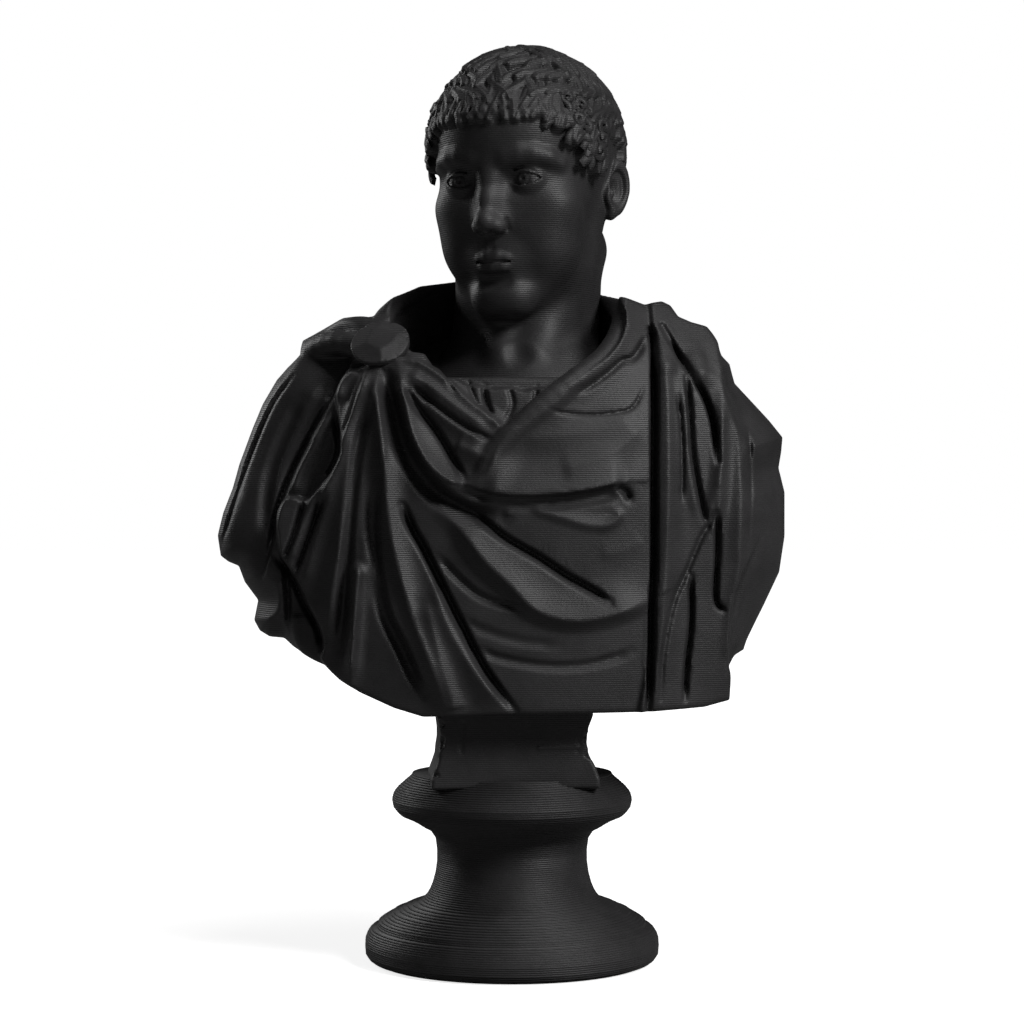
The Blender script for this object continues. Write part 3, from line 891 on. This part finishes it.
def makePin():
    r, t = pin["radius"], pin["thick"] / 2
    c = Sculpt((-5.0, -5.0, -2.0), (5.0, 5.0, 2.0), pin["voxel"])
    x, y, z = np.ix_(*c.axes)
    around = np.sqrt(x * x + y * y)
    disc = smoothMax(around - r, np.abs(z) - t, 0.8)
    rng = np.random.default_rng(pin["seed"])
    for k in range(pin["facets"]):  # hammered facets on the face
        a = k * 1.047 + rng.uniform(-0.25, 0.25)
        lean = rng.uniform(0.26, 0.50)
        slant = lean * (x * math.cos(a) + y * math.sin(a))
        disc = smoothMax(disc, z - t + slant - rng.uniform(0.35, 0.80), 0.10)
    c.field = disc.astype(np.float32)
    for k in range(pin["nicks"]):  # nicks round the rim
        a = k * 0.70 + rng.uniform(-0.25, 0.25)
        c.ball((r * math.cos(a), r * math.sin(a), rng.uniform(0.3, 0.8)), (0.35, 0.35, 0.35), 0.3, cut=True)
    turn = Euler((math.radians(pin["tip"]), 0.0, math.radians(pin["swing"]))).to_matrix()
    return pieceFromField(c, "pin", pin["triangles"], turn, 1.0, pin["place"])


# Turned socle, laid down in thin printed layers. Radii and heights in millimetres.
socle = {"layer": 0.3, "bead": 0.035, "sides": 176, "wobble": 0.0045}
socleProfile = ((0.0, 19.3), (0.2, 20.6), (0.6, 21.4), (1.3, 21.9), (2.5, 22.0), (3.4, 21.95), (4.1, 21.7),
                (4.7, 21.3), (5.1, 20.8), (5.25, 20.1), (5.9, 20.0), (6.4, 19.2), (7.1, 18.0), (7.5, 17.5),
                (7.6, 16.9), (8.0, 16.2), (8.4, 15.3), (8.8, 14.0), (9.2, 13.3), (9.8, 12.75), (10.6, 12.3),
                (11.6, 11.9), (13.1, 11.5), (14.9, 11.25), (16.7, 11.25), (18.5, 11.5), (19.7, 12.3),
                (20.3, 13.5), (20.9, 14.4), (21.25, 15.1), (21.5, 15.5), (21.9, 16.6), (22.4, 17.2),
                (23.2, 17.8), (24.2, 18.0), (25.1, 17.75), (25.9, 17.1), (26.7, 16.2), (27.3, 15.5),
                (27.7, 15.1), (28.1, 14.9))


def makeSocle(material):
    top = socleProfile[-1][0]
    count = int(round(top / socle["layer"]))
    pitch = top / count
    rows = [(0.0, 0.0)]
    heights, radii = zip(*socleProfile)
    for i in range(count):
        r = float(np.interp((i + 0.5) * pitch, heights, radii))
        for share, inset in ((0.02, 1.0), (0.25, 0.15), (0.75, 0.15), (0.98, 1.0)):
            rows.append((r - inset * socle["bead"], (i + share) * pitch))
    rows[1] = (rows[1][0], 0.0)
    rows[-1] = (rows[-1][0], top)
    rows.append((0.0, top))
    mesh = bpy.data.meshes.new("profile")
    mesh.from_pydata([(r * mm, 0.0, z * mm) for r, z in rows], [(i, i + 1) for i in range(len(rows) - 1)], [])
    source = bpy.data.objects.new("socleProfile", mesh)
    bpy.context.scene.collection.objects.link(source)

    tree, sockets = treeWithInputs("turnedSocle", {"Sides": "Int", "Wobble": "Float"})
    start = node(tree, "NodeGroupInput")
    end = node(tree, "NodeGroupOutput")
    size = node(tree, "GeometryNodeAttributeDomainSize", component="MESH")
    grid = node(tree, "GeometryNodeMeshGrid", {"Size X": 1.0, "Size Y": 1.0})
    place = node(tree, "GeometryNodeInputPosition")
    apart = node(tree, "ShaderNodeSeparateXYZ")
    pick = node(tree, "GeometryNodeSampleIndex", data_type="FLOAT_VECTOR")
    profile = node(tree, "ShaderNodeSeparateXYZ")
    joined = node(tree, "ShaderNodeCombineXYZ")
    moved = node(tree, "GeometryNodeSetPosition")
    weld = node(tree, "GeometryNodeMergeByDistance", {"Distance": 1e-7})
    noise = node(tree, "ShaderNodeTexNoise", {"Scale": 900.0, "Detail": 2.0})
    rough = node(tree, "ShaderNodeVectorMath", operation="MULTIPLY")
    spread = node(tree, "ShaderNodeCombineXYZ", {2: 1.0})
    paint = node(tree, "GeometryNodeSetMaterial", {"Material": material})
    real = node(tree, "GeometryNodeRealizeInstances")
    rowCount = size.outputs["Point Count"]
    share = calc(tree, "ADD", apart.outputs["Y"], 0.5)
    row = calc(tree, "MULTIPLY", share, calc(tree, "SUBTRACT", rowCount, 1.0))
    angle = calc(tree, "MULTIPLY", calc(tree, "ADD", apart.outputs["X"], 0.5), 2.0 * math.pi)
    shake = calc(tree, "MULTIPLY", calc(tree, "SUBTRACT", noise.outputs[0], 0.5), start.outputs["Wobble"])
    grow = calc(tree, "ADD", shake, 1.0)
    radius = profile.outputs["X"]
    link(tree, (calc(tree, "ADD", start.outputs["Sides"], 1.0), grid.inputs["Vertices X"]),
         (start.outputs["Geometry"], size.inputs[0]), (rowCount, grid.inputs["Vertices Y"]),
         (place.outputs[0], apart.inputs[0]), (start.outputs["Geometry"], pick.inputs["Geometry"]),
         (place.outputs[0], pick.inputs["Value"]), (calc(tree, "ROUND", row), pick.inputs["Index"]),
         (pick.outputs["Value"], profile.inputs[0]),
         (calc(tree, "MULTIPLY", radius, calc(tree, "COSINE", angle)), joined.inputs["X"]),
         (calc(tree, "MULTIPLY", radius, calc(tree, "SINE", angle)), joined.inputs["Y"]),
         (profile.outputs["Z"], joined.inputs["Z"]), (joined.outputs[0], noise.inputs["Vector"]),
         (grow, spread.inputs["X"]), (grow, spread.inputs["Y"]),
         (joined.outputs[0], rough.inputs[0]), (spread.outputs[0], rough.inputs[1]),
         (grid.outputs["Mesh"], moved.inputs["Geometry"]), (rough.outputs[0], moved.inputs["Position"]),
         (moved.outputs[0], weld.inputs[0]), (weld.outputs[0], real.inputs[0]),
         (real.outputs[0], paint.inputs["Geometry"]), (paint.outputs[0], end.inputs[0]))
    return grown(source, "socle", tree, sockets, {"Sides": socle["sides"], "Wobble": socle["wobble"]})


# Black printing plastic: satin, with the marks of its layers.
plastic = {"layer": 0.3, "bead": 0.030, "terrace": 0.12, "drift": 0.12, "grain": 0.05,
           "colour": (0.030, 0.029, 0.030), "roughness": 0.50}


def plasticMaterial():
    m = bpy.data.materials.new("blackPlastic")
    m.use_nodes = True
    t = m.node_tree
    shader = t.nodes["Principled BSDF"]
    shader.inputs["Specular IOR Level"].default_value = 0.5
    coord = node(t, "ShaderNodeTexCoord")
    apart = node(t, "ShaderNodeSeparateXYZ")
    slope = node(t, "ShaderNodeSeparateXYZ")
    wave = node(t, "ShaderNodeTexNoise", {"Scale": 60.0, "Detail": 1.0})
    grain = node(t, "ShaderNodeTexNoise", {"Scale": 2600.0, "Detail": 3.0, "Roughness": 0.6})
    mix = node(t, "ShaderNodeMix", data_type="FLOAT")
    bump = node(t, "ShaderNodeBump", {"Strength": 0.7, "Distance": 1.0})
    saw = shades(t, (0.0, (0.0, 0.0, 0.0)), (0.22, (1.0, 1.0, 1.0)), (1.0, (0.0, 0.0, 0.0)))
    level = calc(t, "ADD", apart.outputs["Z"], calc(t, "MULTIPLY", wave.outputs[0], plastic["drift"] * mm))
    part = calc(t, "FRACT", calc(t, "MULTIPLY", level, 1.0 / (plastic["layer"] * mm)))
    bead = calc(t, "SINE", calc(t, "MULTIPLY", part, math.pi))
    flatness = calc(t, "ABSOLUTE", slope.outputs["Z"])  # beads on upright walls, terraces where it lies flat
    height = calc(t, "ADD", calc(t, "MULTIPLY", grain.outputs[0], plastic["grain"] * mm), mix.outputs[0])
    link(t, (coord.outputs["Object"], apart.inputs[0]), (coord.outputs["Normal"], slope.inputs[0]),
         (coord.outputs["Object"], wave.inputs["Vector"]), (coord.outputs["Object"], grain.inputs["Vector"]),
         (part, saw.inputs[0]), (flatness, mix.inputs[0]),
         (calc(t, "MULTIPLY", bead, plastic["bead"] * mm), mix.inputs[2]),
         (calc(t, "MULTIPLY", saw.outputs[0], plastic["terrace"] * mm), mix.inputs[3]),
         (height, bump.inputs["Height"]), (bump.outputs[0], shader.inputs["Normal"]))
    patches = node(t, "ShaderNodeTexNoise", {"Scale": 140.0, "Detail": 4.0, "Roughness": 0.6})
    colour = np.array(plastic["colour"])
    tint = shades(t, (0.35, colour * 0.8), (0.68, colour * 1.25))
    dull = node(t, "ShaderNodeMapRange", {"To Min": plastic["roughness"] - 0.07,
                                          "To Max": plastic["roughness"] + 0.09})
    link(t, (coord.outputs["Object"], patches.inputs["Vector"]), (patches.outputs[0], tint.inputs[0]),
         (tint.outputs[0], shader.inputs["Base Color"]), (patches.outputs[0], dull.inputs["Value"]),
         (dull.outputs[0], shader.inputs["Roughness"]))
    return m


# Floor, light and camera. The camera looks level, as in the photo.
view = {"distance": 381.0, "height": 67.1, "lens": 89.3, "sensor": 36.0}
stage = {"floor": 4.0, "floorNear": 0.80, "floorFar": 1.05, "world": 0.02}
lamps = {  # place, what it points at, power and size, in metres
    "key": ((0.80, -0.66, 0.84), (0.0, 0.0, 0.07), 10.5, 0.40),
    "top": ((0.20, -0.25, 1.10), (0.0, 0.0, 0.08), 2.0, 0.35),
    "rim": ((-0.65, 0.55, 0.45), (0.0, 0.0, 0.08), 2.0, 0.30),
}


def lamp(name, place, target, power, size):
    data = bpy.data.lights.new(name, "AREA")
    data.energy = power
    data.size = size
    made = bpy.data.objects.new(name, data)
    made.location = place
    made.rotation_euler = (Vector(target) - Vector(place)).to_track_quat("-Z", "Y").to_euler()
    bpy.context.scene.collection.objects.link(made)


def makeFloor():  # brightens outwards, so that it runs into the pale background
    mesh = bpy.data.meshes.new("floor")
    corners = [(x * stage["floor"], y * stage["floor"], 0.0) for x, y in ((-1, -1), (1, -1), (1, 1), (-1, 1))]
    mesh.from_pydata(corners, [], [(0, 1, 2, 3)])
    floor = bpy.data.objects.new("floor", mesh)
    bpy.context.scene.collection.objects.link(floor)
    m = bpy.data.materials.new("paleFloor")
    m.use_nodes = True
    t = m.node_tree
    t.nodes.clear()
    coord = node(t, "ShaderNodeTexCoord")
    far = node(t, "ShaderNodeVectorMath", operation="LENGTH")
    glow = node(t, "ShaderNodeMapRange", {"From Min": 0.05, "From Max": 0.40, "To Min": stage["floorNear"],
                                          "To Max": stage["floorFar"]})
    shine = node(t, "ShaderNodeEmission")
    matt = node(t, "ShaderNodeBsdfDiffuse", {"Color": (0.85, 0.85, 0.85, 1.0)})
    dim = node(t, "ShaderNodeBsdfDiffuse", {"Color": (0.25, 0.25, 0.25, 1.0)})
    both = node(t, "ShaderNodeAddShader")
    link(t, (coord.outputs["Object"], far.inputs[0]), (far.outputs["Value"], glow.inputs["Value"]),
         (glow.outputs[0], shine.inputs["Strength"]), (shine.outputs[0], both.inputs[0]),
         (matt.outputs[0], both.inputs[1]))
    eyeOrLight(t, dim, both, node(t, "ShaderNodeOutputMaterial"))
    mesh.materials.append(m)


def makeWorld():
    world = bpy.data.worlds.new("studio")
    bpy.context.scene.world = world
    world.use_nodes = True
    t = world.node_tree
    t.nodes.clear()
    seen = node(t, "ShaderNodeBackground", {"Color": (1.0, 1.0, 1.0, 1.0), "Strength": 1.0})
    lit = node(t, "ShaderNodeBackground", {"Color": (1.0, 1.0, 1.0, 1.0), "Strength": stage["world"]})
    eyeOrLight(t, lit, seen, node(t, "ShaderNodeOutputWorld"))


def makeStage():
    scene = bpy.context.scene
    scene.view_settings.view_transform = "Standard"
    makeFloor()
    makeWorld()
    for name, (place, target, power, size) in lamps.items():
        lamp(name, place, target, power, size)
    camera = bpy.data.objects.new("camera", bpy.data.cameras.new("camera"))
    camera.data.lens = view["lens"]
    camera.data.sensor_width = view["sensor"]
    camera.location = (0.0, -view["distance"] * mm, view["height"] * mm)
    camera.rotation_euler = (math.radians(90.0), 0.0, 0.0)
    scene.collection.objects.link(camera)
    scene.camera = camera
    print("stage and camera set")


material = plasticMaterial()
pieces = [makeHead(), makeCurls(material), makeCloak(), makeBlock(), makePin(), makeSocle(material)]
for piece in pieces:
    piece.data.materials.clear()
    piece.data.materials.append(material)
    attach(piece, "root")
    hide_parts(nodeName)
makeStage()
